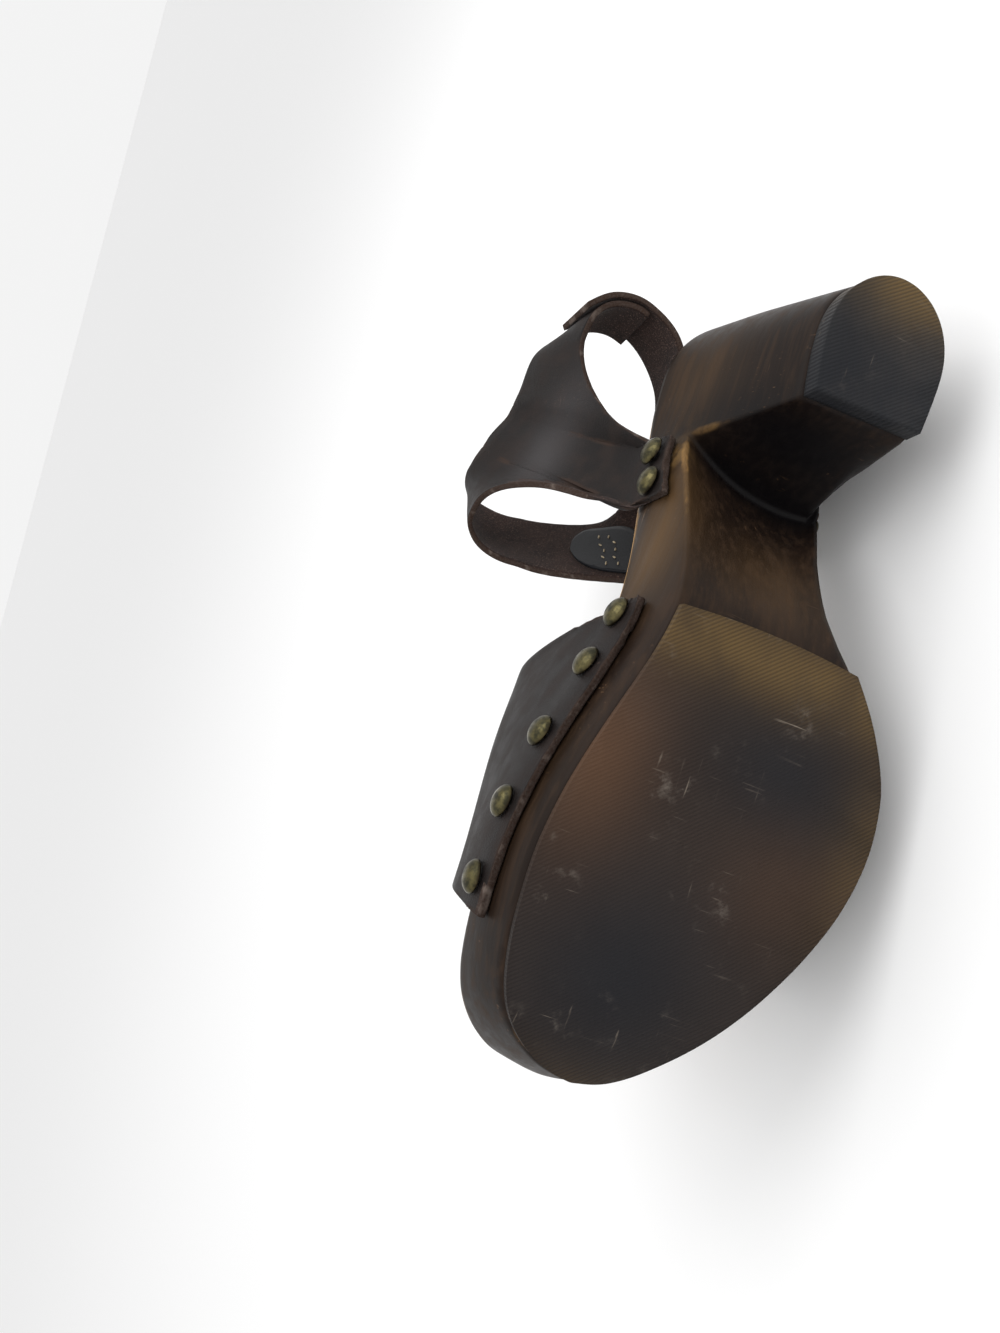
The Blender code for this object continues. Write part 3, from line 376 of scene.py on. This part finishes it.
def wood_finish(props):
    mat, tree, shader, place = new_finish("stained_wood")
    grain = noise(tree, place, 420.0, 4.0, 0.6, (1.0, 0.045, 0.7))
    broad = noise(tree, place, 55.0, 3.0, 0.5, (1.0, 0.12, 0.8))
    tone = mix(tree, span(tree, grain, 0.42, 0.70), tuple(props.dark), tuple(props.streak))
    tone = mix(tree, span(tree, broad, 0.45, 0.75, 0.0, 0.55), tone, WOOD_BROAD)
    edges = calc(tree, "MULTIPLY", attribute(tree, "edge"), patches(tree, place, RUBBED))
    wear = use(tree, edge_wear_group(), {"Place": place, "Mask": edges, "Amount": 1.5})[0]
    # worn amber wood and a painted highlight along the medial ridge; from here wear holds both
    line = calc(tree, "MULTIPLY", span(tree, attribute(tree, "edge"), 0.25, 0.95),
                patches(tree, place, RIDGE_WEAR_AND_HIGHLIGHT))
    wear = calc(tree, "MAXIMUM", wear, calc(tree, "MULTIPLY", line, span(tree, broad, 0.2, 0.6, 0.6, 1.0)))
    rubbed = mix(tree, span(tree, grain, 0.35, 0.65), tuple(props.worn), WOOD_RUBBED)
    # lighter amber patches on the waist, the medial forefoot and the heel side
    glow = calc(tree, "MULTIPLY", patches(tree, place, LIGHTER_AMBER_PATCHES), span(tree, broad, 0.25, 0.7, 0.45, 1.0))
    tone = mix(tree, glow, tone, WOOD_LIGHTER_AMBER)
    tone = mix(tree, calc(tree, "MULTIPLY", wear, 0.86), tone, rubbed)
    # bare amber wood and a painted highlight at the notch
    notch = calc(tree, "MULTIPLY", patches(tree, place, NOTCH),
                 span(tree, noise(tree, place, 190.0, 4.0), 0.3, 0.6))
    tone = mix(tree, notch, tone, WOOD_NOTCH)
    marks = use(tree, scuff_group(), {"Place": place})
    # painted shade on the heel breast and the lateral waist
    tone = mix(tree, patches(tree, place, PAINTED_SHADE_PATCHES, 0.96), tone, WOOD_SHADOW)
    tone = mix(tree, calc(tree, "MULTIPLY", marks["Scratch"], 0.35), tone, WOOD_SCRATCH)
    join(tree, tone, shader, "Base Color")
    rough = calc(tree, "ADD", span(tree, grain, 0.3, 0.8, 0.40, 0.55), calc(tree, "MULTIPLY", wear, 0.14))
    join(tree, rough, shader, "Roughness")
    shader.inputs["Specular IOR Level"].default_value = 0.10
    bump(tree, shader, calc(tree, "ADD", grain, calc(tree, "MULTIPLY", marks["Scratch"], -0.6)), 0.35, 0.25 * MM)
    return mat


def insole_finish(props):
    mat, tree, shader, place = new_finish("tan_leather")
    out = use(tree, pebble_group(), {"Place": place, "Scale": 1100.0})
    tone = mix(tree, span(tree, out["Soft"], 0.35, 0.7), tuple(props.insole), INSOLE_SHADE)
    tone = mix(tree, attribute(tree, "edge"), tone, INSOLE_EDGE)
    join(tree, tone, shader, "Base Color")
    join(tree, span(tree, out["Soft"], 0.3, 0.7, 0.42, 0.6), shader, "Roughness")
    bump(tree, shader, out["Height"], 0.3, 0.2 * MM)
    return mat


def rubber_finish(name, props, base, second, dust, amber, dark):
    """Ribbed rubber of two mixed colours, with amber and dark patches and an amount of dust."""
    mat, tree, shader, place = new_finish(name)
    turned = node(tree, "ShaderNodeMapping", {0: place, 2: (0, 0, math.radians(RIBS_TURN))}).outputs[0]
    wobble = noise(tree, place, 30.0, 2.0)
    pitch = 2 * math.pi / props.rib_pitch / 20.0
    values = {"Vector": turned, "Scale": pitch, "Distortion": 0.25, "Detail": 1.0, "Detail Scale": 3.0}
    wave = node(tree, "ShaderNodeTexWave", values, wave_type="BANDS", bands_direction="Y").outputs[1]
    broad = noise(tree, place, 38.0, 4.0, 0.6)
    tone = mix(tree, span(tree, broad, 0.35, 0.7), base, second)
    tone = mix(tree, span(tree, wave, 0.0, 0.6, 0.3, 0.0), tone, RIB_GROOVE)
    marks = use(tree, scuff_group(), {"Place": place})
    zone = patches(tree, place, amber)
    tone = mix(tree, patches(tree, place, dark, 0.9), tone, RUBBER_DARK)
    tone = mix(tree, patches(tree, place, RUBBER_RUSTED, 0.8), tone, RUBBER_RUST)
    band = calc(tree, "MULTIPLY", zone, span(tree, noise(tree, place, 60.0, 3.0, 0.5), 0.2, 0.6, 0.55, 1.0))
    band = calc(tree, "MULTIPLY", band, span(tree, wave, 0.0, 0.8, 0.6, 1.0))
    tone = mix(tree, calc(tree, "MULTIPLY", band, 0.95), tone, tuple(props.amber))
    tone = mix(tree, calc(tree, "MULTIPLY", marks["Dust"], dust), tone, tuple(props.scuff))
    tone = mix(tree, calc(tree, "MULTIPLY", marks["Scratch"], 0.55), tone, RUBBER_SCRATCH)
    join(tree, tone, shader, "Base Color")
    join(tree, span(tree, wobble, 0.3, 0.7, 0.48, 0.66), shader, "Roughness")
    shader.inputs["Specular IOR Level"].default_value = 0.10
    relief = calc(tree, "ADD", wave, calc(tree, "MULTIPLY", noise(tree, place, 800.0), 0.3))
    bump(tree, shader, relief, 0.6, 0.3 * MM)
    return mat


def leather_finish(props):
    mat, tree, shader, place = new_finish("satin_leather")
    out = use(tree, pebble_group(), {"Place": place, "Scale": 1.0 / props.grain})
    marks = use(tree, scuff_group(), {"Place": place})
    tone = mix(tree, span(tree, out["Soft"], 0.35, 0.72), tuple(props.face), LEATHER_SECOND)
    # painted sheen highlight on the ankle band
    tone = mix(tree, patches(tree, place, LEATHER_PAINTED_SHEEN, 0.8), tone, LEATHER_SHEEN_TONE)
    rim = use(tree, edge_wear_group(), {"Place": place, "Mask": attribute(tree, "edge"), "Amount": 0.8})[0]
    tone = mix(tree, calc(tree, "MULTIPLY", rim, 0.35), tone, LEATHER_RIM)
    tone = mix(tree, calc(tree, "MULTIPLY", marks["Scratch"], 0.25), tone, LEATHER_SCRATCH)
    join(tree, tone, shader, "Base Color")
    rough = calc(tree, "ADD", span(tree, out["Soft"], 0.3, 0.7, 0.42, 0.56), calc(tree, "MULTIPLY", rim, 0.15))
    join(tree, rough, shader, "Roughness")
    shader.inputs["Specular IOR Level"].default_value = 0.08
    bump(tree, shader, out["Height"], 0.4, 0.22 * MM)
    return mat


def suede_finish(props):
    mat, tree, shader, place = new_finish("suede_side")
    nap = noise(tree, place, 1800.0, 4.0, 0.7)
    cloud = noise(tree, place, 70.0, 4.0, 0.6)
    tone = mix(tree, span(tree, cloud, 0.3, 0.7), tuple(props.suede), SUEDE_SHADE)
    tone = mix(tree, span(tree, nap, 0.54, 0.70, 0.0, 0.75), tone, SUEDE_NAP)
    join(tree, tone, shader, "Base Color")
    shader.inputs["Roughness"].default_value = 0.95
    shader.inputs["Specular IOR Level"].default_value = 0.1
    shader.inputs["Sheen Weight"].default_value = 0.08
    shader.inputs["Sheen Roughness"].default_value = 0.5
    bump(tree, shader, nap, 0.7, 0.3 * MM)
    return mat


def raw_finish(props):
    mat, tree, shader, place = new_finish("raw_edge")
    fibre = noise(tree, place, 1500.0, 4.0, 0.7)
    tone = mix(tree, span(tree, fibre, 0.35, 0.7), RAW_SHADE, tuple(props.raw))
    tone = mix(tree, span(tree, noise(tree, place, 160.0, 3.0), 0.55, 0.7, 0.0, 0.6), tone, RAW_PALE)
    join(tree, tone, shader, "Base Color")
    shader.inputs["Roughness"].default_value = 0.9
    shader.inputs["Specular IOR Level"].default_value = 0.15
    bump(tree, shader, fibre, 0.9, 0.4 * MM)
    return mat


def brass_finish(props):
    mat, tree, shader, place = new_finish("aged_brass")
    cloud = noise(tree, place, 380.0, 4.0, 0.6)
    rim = attribute(tree, "edge")
    tone = mix(tree, span(tree, cloud, 0.35, 0.65), tuple(props.brass), tuple(props.tarnish))
    tone = mix(tree, calc(tree, "MULTIPLY", rim, 0.8), tone, BRASS_RIM)
    join(tree, tone, shader, "Base Color")
    shader.inputs["Metallic"].default_value = 1.0
    join(tree, span(tree, cloud, 0.3, 0.7, 0.24, 0.5), shader, "Roughness")
    bump(tree, shader, cloud, 0.15, 0.2 * MM)
    return mat


def plain_finish(name, base, rough):
    mat, tree, shader, place = new_finish(name)
    fine = noise(tree, place, 1200.0, 3.0)
    tone = mix(tree, span(tree, fine, 0.35, 0.7, 0.0, 0.6), base, tuple(min(1, c * 1.8) for c in base[:3]) + (1,))
    join(tree, tone, shader, "Base Color")
    shader.inputs["Roughness"].default_value = rough
    shader.inputs["Specular IOR Level"].default_value = 0.15
    bump(tree, shader, fine, 0.3, 0.15 * MM)
    return mat


# shapes

def copy_of(name):
    """Welded copy of a solid, with its triangles joined to quads."""
    bm = bmesh.new()
    bm.from_mesh(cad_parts[name].data)
    bmesh.ops.remove_doubles(bm, verts=bm.verts[:], dist=0.00001)
    bmesh.ops.join_triangles(bm, faces=bm.faces[:], angle_face_threshold=math.radians(35),
                             angle_shape_threshold=math.radians(75), cmp_seam=False, cmp_sharp=False,
                             cmp_uvs=False, cmp_vcols=False, cmp_materials=False)
    bmesh.ops.recalc_face_normals(bm, faces=bm.faces[:])
    return bm


def finished(bm, name, edges, finishes, node_name):
    """Turns the bmesh into a rounded piece. Also gives the points of its sharp edges, which keep their line."""
    sharp, crease = edges
    layer = bm.edges.layers.float.get("crease_edge") or bm.edges.layers.float.new("crease_edge")
    points = []
    for edge in bm.edges:
        if len(edge.link_faces) == 2 and edge.calc_face_angle(0) > math.radians(sharp):
            edge[layer] = crease
            a, b = edge.verts[0].co, edge.verts[1].co
            steps = max(2, int((a - b).length / LINE_STEP))
            points += [a.lerp(b, k / steps) for k in range(steps + 1)]
    mesh = bpy.data.meshes.new(name)
    bm.to_mesh(mesh)
    bm.free()
    obj = bpy.data.objects.new(name, mesh)
    bpy.context.scene.collection.objects.link(obj)
    for finish in finishes:
        mesh.materials.append(finish)
    smooth = obj.modifiers.new("Rounding", "SUBSURF")
    smooth.levels = smooth.render_levels = ROUNDING
    bpy.context.view_layer.update()
    baked = bpy.data.meshes.new_from_object(obj.evaluated_get(bpy.context.evaluated_depsgraph_get()))
    obj.modifiers.clear()
    obj.data = baked
    bpy.data.meshes.remove(mesh)
    baked.name = name
    baked.shade_smooth()
    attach(obj, "root")
    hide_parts(node_name)
    return obj, points


def paint(obj, points, reach):
    """Stores where each point lies in the standing sandal and how near a line it is."""
    mesh = obj.data
    tree = KDTree(max(1, len(points)))
    for i, point in enumerate(points or [Vector((9, 9, 9))]):
        tree.insert(point, i)
    tree.balance()
    standing = [STAND @ vert.co for vert in mesh.vertices]
    near = [math.exp(-(tree.find(vert.co)[2] / reach) ** 2) for vert in mesh.vertices]
    mesh.attributes.new("standing", "FLOAT_VECTOR", "POINT")
    mesh.attributes["standing"].data.foreach_set("vector", [c for place in standing for c in place])
    mesh.attributes.new("edge", "FLOAT", "POINT")
    mesh.attributes["edge"].data.foreach_set("value", near)


def press_creases(obj, creases):
    """How far soft troughs and ridges press each point of a strap in, alike on both faces."""
    moves = []
    for vert in obj.data.vertices:
        p = (STAND @ vert.co) / MM
        push = 0.0
        for line in creases:
            a, b = Vector(line["a"]), Vector(line["b"])
            along = b - a
            t = max(0.0, min(1.0, (p - a).dot(along) / along.length_squared))
            away = (p - (a + along * t)).length
            push += line["depth"] * math.exp(-(away / line["width"]) ** 2)
        moves.append(push)
    return moves


def bend_strap(obj, creases, centre):
    """Moves the strap's points towards or from the foot by the pressed creases."""
    moves = press_creases(obj, creases)
    for vert, push in zip(obj.data.vertices, moves):
        if abs(push) > 0.01:
            p = (STAND @ vert.co) / MM
            way = (Vector(centre(p)) - p).normalized()
            vert.co = TURN @ ((p + way * push) * MM)


def face_side(bm, centre):
    """Material 0 on the outer face, 1 on the side towards the foot and 2 on the cut edges."""
    for face in bm.faces:
        middle = (STAND @ face.calc_center_median()) / MM
        normal = (STAND.to_3x3() @ face.normal)
        bends = [e.calc_face_angle(0) for e in face.edges if len(e.link_faces) == 2]
        lengths = sorted(e.calc_length() for e in face.edges)
        if sum(bend > CUT_BEND for bend in bends) >= 2 and lengths[0] < CUT_WIDTH and lengths[1] < CUT_SECOND:
            face.material_index = 2
        else:
            face.material_index = 0 if normal.dot(middle - Vector(centre(middle))) > 0 else 1


def fore_centre(p):
    return (0.0, p.y, 48.0)


def ankle_centre(p):
    return (-22.0, 46.0, 84.0 + 0.35 * (p.z - 84.0))


def ramp(value, low, high):
    t = max(0.0, min(1.0, (value - low) / (high - low)))
    return t * t * (3 - 2 * t)


def fray(obj, where):
    """Roughens the cut edges of a strap where they are raw and torn."""
    ripple.seed_set(FRAY_SEED)
    mesh = obj.data
    raw = {v for face in mesh.polygons if face.material_index == 2 for v in face.vertices}
    for index in raw:
        vert = mesh.vertices[index]
        p = (STAND @ vert.co) / MM
        amount = where(p)
        if amount > 0.02:
            push = ripple.noise_vector(p * 0.9) * 0.45 + ripple.noise_vector(p * 2.3) * 0.25
            vert.co = TURN @ ((p + push * amount) * MM)


def fore_fray(p):
    return ramp(140 - p.y, 0, 14) * ramp(62 - p.z, 0, 15) + 0.4 * ramp(30 - p.z, 0, 10)


def ankle_fray(p):
    return ramp(62 - p.z, 0, 14)


class SandalStep:
    """What every building step shares."""
    bl_options = {"REGISTER", "UNDO"}


class SANDAL_OT_wood(SandalStep, bpy.types.Operator):
    """Builds the carved wooden sole and its tan insole"""
    bl_idname = "sandal.wood"
    bl_label = "Wooden sole and insole"

    def execute(self, context):
        props = context.scene.sandal_wood
        sole, lines = finished(copy_of("wood_sole"), "carved_sole", WOOD_EDGES, [wood_finish(props)],
                               "wood_sole")
        paint(sole, lines, props.wear_reach)
        insole, lines = finished(copy_of("insole"), "tan_insole", INSOLE_EDGES, [insole_finish(props)],
                                 "insole")
        paint(insole, lines, 1.6 * MM)
        return {"FINISHED"}


class SANDAL_OT_rubber(SandalStep, bpy.types.Operator):
    """Builds the ribbed rubber under the forefoot and the heel"""
    bl_idname = "sandal.rubber"
    bl_label = "Ribbed rubber"

    def execute(self, context):
        props = context.scene.sandal_rubber
        finish = rubber_finish("forefoot_rubber", props, tuple(props.sheet), SHEET_SECOND, 0.45, SHEET_AMBER,
                               SHEET_DARK)
        sheet, lines = finished(copy_of("forefoot_sheet"), "ribbed_sheet", RUBBER_EDGES, [finish],
                                "forefoot_sheet")
        paint(sheet, lines, 1.0 * MM)
        finish = rubber_finish("heel_rubber", props, tuple(props.lift), LIFT_SECOND, 0.3, LIFT_AMBER, LIFT_DARK)
        lift, lines = finished(copy_of("heel_lift"), "ribbed_lift", RUBBER_EDGES, [finish],
                               "heel_lift")
        paint(lift, lines, 0.8 * MM)
        return {"FINISHED"}


class SANDAL_OT_forefoot(SandalStep, bpy.types.Operator):
    """Builds the wide forefoot strap"""
    bl_idname = "sandal.forefoot"
    bl_label = "Forefoot strap"

    def execute(self, context):
        props = context.scene.sandal_leather
        bm = copy_of("forefoot_strap")
        face_side(bm, fore_centre)
        strap, lines = finished(bm, "forefoot_leather_strap", STRAP_EDGES,
                                [leather_finish(props), suede_finish(props), raw_finish(props)],
                                "forefoot_strap")
        paint(strap, lines, 1.2 * MM)
        bend_strap(strap, FORE_CREASES, fore_centre)
        fray(strap, fore_fray)
        return {"FINISHED"}


class SANDAL_OT_ankle(SandalStep, bpy.types.Operator):
    """Builds the strap over the instep and round the ankle, with its inner shield"""
    bl_idname = "sandal.ankle"
    bl_label = "Ankle strap"

    def execute(self, context):
        props = context.scene.sandal_leather
        bm = copy_of("ankle_strap")
        face_side(bm, ankle_centre)
        finishes = [bpy.data.materials[name] for name in ("satin_leather", "suede_side", "raw_edge")]
        strap, lines = finished(bm, "ankle_leather_strap", STRAP_EDGES, finishes, "ankle_strap")
        paint(strap, lines, 1.2 * MM)
        bend_strap(strap, ANKLE_CREASES, ankle_centre)
        fray(strap, ankle_fray)
        shield, lines = finished(copy_of("inner_shield"), "sewn_shield", SHIELD_EDGES,
                                 [plain_finish("smooth_shield", SHIELD_FACE, 0.45)],
                                 "inner_shield")
        paint(shield, lines, 0.6 * MM)
        thread = plain_finish("pale_thread", tuple(props.thread), 0.8)
        bm = bmesh.new()
        towards = TURN.to_3x3() @ -CAMERA_FORWARD
        seen = [v for v in shield.data.vertices if v.normal.dot(towards) > 0.2]
        way = (SHIELD_ROOT - SHIELD_NOSE).normalized()
        for column in STITCH_COLUMNS:
            for row, across in enumerate(STITCH_ROWS):
                aim = SHIELD_NOSE.lerp(SHIELD_ROOT, column) + SHIELD_DOWN * SHIELD_HALF * across
                near = min(seen, key=lambda v: (STAND @ v.co - aim).length)
                lean = SHIELD_DOWN * (0.62 if row % 2 else 1.0) + way * (0.5 if row % 2 else -0.2)
                run = (TURN.to_3x3() @ lean).normalized()
                up = near.normal.copy()
                across = up.cross(run).normalized()
                turn = Matrix((run, across, up)).transposed().to_4x4()
                place = Matrix.Translation(near.co + up * STITCH_LIFT) @ turn @ Matrix.Diagonal(STITCH_SHAPE)
                bmesh.ops.create_uvsphere(bm, u_segments=8, v_segments=6, radius=STITCH_RADIUS, matrix=place)
        mesh = bpy.data.meshes.new("shield_stitches")
        bm.to_mesh(mesh)
        bm.free()
        mesh.shade_smooth()
        mesh.materials.append(thread)
        stitches = bpy.data.objects.new("shield_stitches", mesh)
        context.scene.collection.objects.link(stitches)
        paint(stitches, [], 1.0)
        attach(stitches, "root")
        return {"FINISHED"}


class SANDAL_OT_studs(SandalStep, bpy.types.Operator):
    """Builds the domed studs"""
    bl_idname = "sandal.studs"
    bl_label = "Studs"

    def execute(self, context):
        finish = brass_finish(context.scene.sandal_studs)
        for name in FORE_STUDS + ANKLE_STUDS:
            dome = name.replace("stud", "dome")
            stud, lines = finished(copy_of(name), dome, STUD_EDGES, [finish], name)
            paint(stud, lines, 0.7 * MM)
        return {"FINISHED"}


class SANDAL_OT_stage(SandalStep, bpy.types.Operator):
    """Sets the pale floor, the soft light and the photograph's camera"""
    bl_idname = "sandal.stage"
    bl_label = "Stage"

    def execute(self, context):
        props = context.scene.sandal_stage
        bm = bmesh.new()
        bmesh.ops.create_grid(bm, x_segments=1, y_segments=1, size=FLOOR_SIZE)
        mesh = bpy.data.meshes.new("floor")
        bm.to_mesh(mesh)
        bm.free()
        floor = bpy.data.objects.new("floor", mesh)
        context.scene.collection.objects.link(floor)
        finish = bpy.data.materials.new("pale_floor")
        finish.use_nodes = True
        shader = finish.node_tree.nodes["Principled BSDF"]
        shader.inputs["Base Color"].default_value = props.floor
        shader.inputs["Roughness"].default_value = 0.9
        mesh.materials.append(finish)
        world = bpy.data.worlds.new("studio")
        world.use_nodes = True
        sky = world.node_tree.nodes["Background"]
        sky.inputs["Color"].default_value = (1, 1, 1, 1)
        sky.inputs["Strength"].default_value = SKY_STRENGTH
        context.scene.world = world
        context.scene.view_settings.view_transform = "Standard"
        turn = TURN.to_3x3()
        place = TURN @ (CAMERA_PLACE * MM)
        right, down, forward = (turn @ v for v in (CAMERA_RIGHT, CAMERA_DOWN, CAMERA_FORWARD))
        lamps = [(name, place + right * offset[0] + down * offset[1] + forward * offset[2], size, power)
                 for name, (offset, size, power) in CAMERA_LAMPS.items()]
        lamps.append(("top", TOP_LAMP_PLACE, TOP_LAMP_SIZE, TOP_LAMP_POWER))
        for name, where, size, power in lamps:
            lamp = bpy.data.lights.new(name, "AREA")
            lamp.size, lamp.energy = size, power
            obj = bpy.data.objects.new(name, lamp)
            where = Vector((where.x, where.y, max(LAMP_LOWEST, where.z)))
            obj.location = where
            obj.rotation_euler = (LAMP_TARGET - where).to_track_quat("-Z", "Y").to_euler()
            context.scene.collection.objects.link(obj)
        camera = bpy.data.cameras.new("photo_camera")
        camera.lens = props.lens
        camera.sensor_width = 36.0
        camera.clip_start = 0.01
        obj = bpy.data.objects.new("photo_camera", camera)
        axes = Matrix((right.normalized(), -down.normalized(), -forward.normalized())).transposed()
        obj.matrix_world = Matrix.Translation(place) @ axes.to_4x4()
        context.scene.collection.objects.link(obj)
        context.scene.camera = obj
        return {"FINISHED"}


class SANDAL_PT_panel(bpy.types.Panel):
    """Lists the steps in the sidebar"""
    bl_idname = "SANDAL_PT_panel"
    bl_label = "Wooden sole sandal"
    bl_space_type = "VIEW_3D"
    bl_region_type = "UI"
    bl_category = "Sandal"

    def draw(self, context):
        for step in STEPS:
            self.layout.operator(step.bl_idname)
        for group_name in GROUPS:
            props = getattr(context.scene, group_name)
            box = self.layout.box()
            for key in props.bl_rna.properties.keys():
                if key not in ("rna_type", "name"):
                    box.prop(props, key)


GROUPS = {"sandal_wood": SANDAL_PG_wood, "sandal_rubber": SANDAL_PG_rubber, "sandal_leather": SANDAL_PG_leather,
          "sandal_studs": SANDAL_PG_studs, "sandal_stage": SANDAL_PG_stage}
STEPS = [SANDAL_OT_wood, SANDAL_OT_rubber, SANDAL_OT_forefoot, SANDAL_OT_ankle, SANDAL_OT_studs, SANDAL_OT_stage]


def register():
    for name, kind in GROUPS.items():
        bpy.utils.register_class(kind)
        setattr(bpy.types.Scene, name, bpy.props.PointerProperty(type=kind))
    for kind in STEPS + [SANDAL_PT_panel]:
        bpy.utils.register_class(kind)


def unregister():
    for kind in reversed(STEPS + [SANDAL_PT_panel]):
        bpy.utils.unregister_class(kind)
    for name, kind in GROUPS.items():
        delattr(bpy.types.Scene, name)
        bpy.utils.unregister_class(kind)


def main():
    register()
    bpy.ops.sandal.wood()
    bpy.ops.sandal.rubber()
    bpy.ops.sandal.forefoot()
    bpy.ops.sandal.ankle()
    bpy.ops.sandal.studs()
    bpy.ops.sandal.stage()


if __name__ == "__main__":
    main()
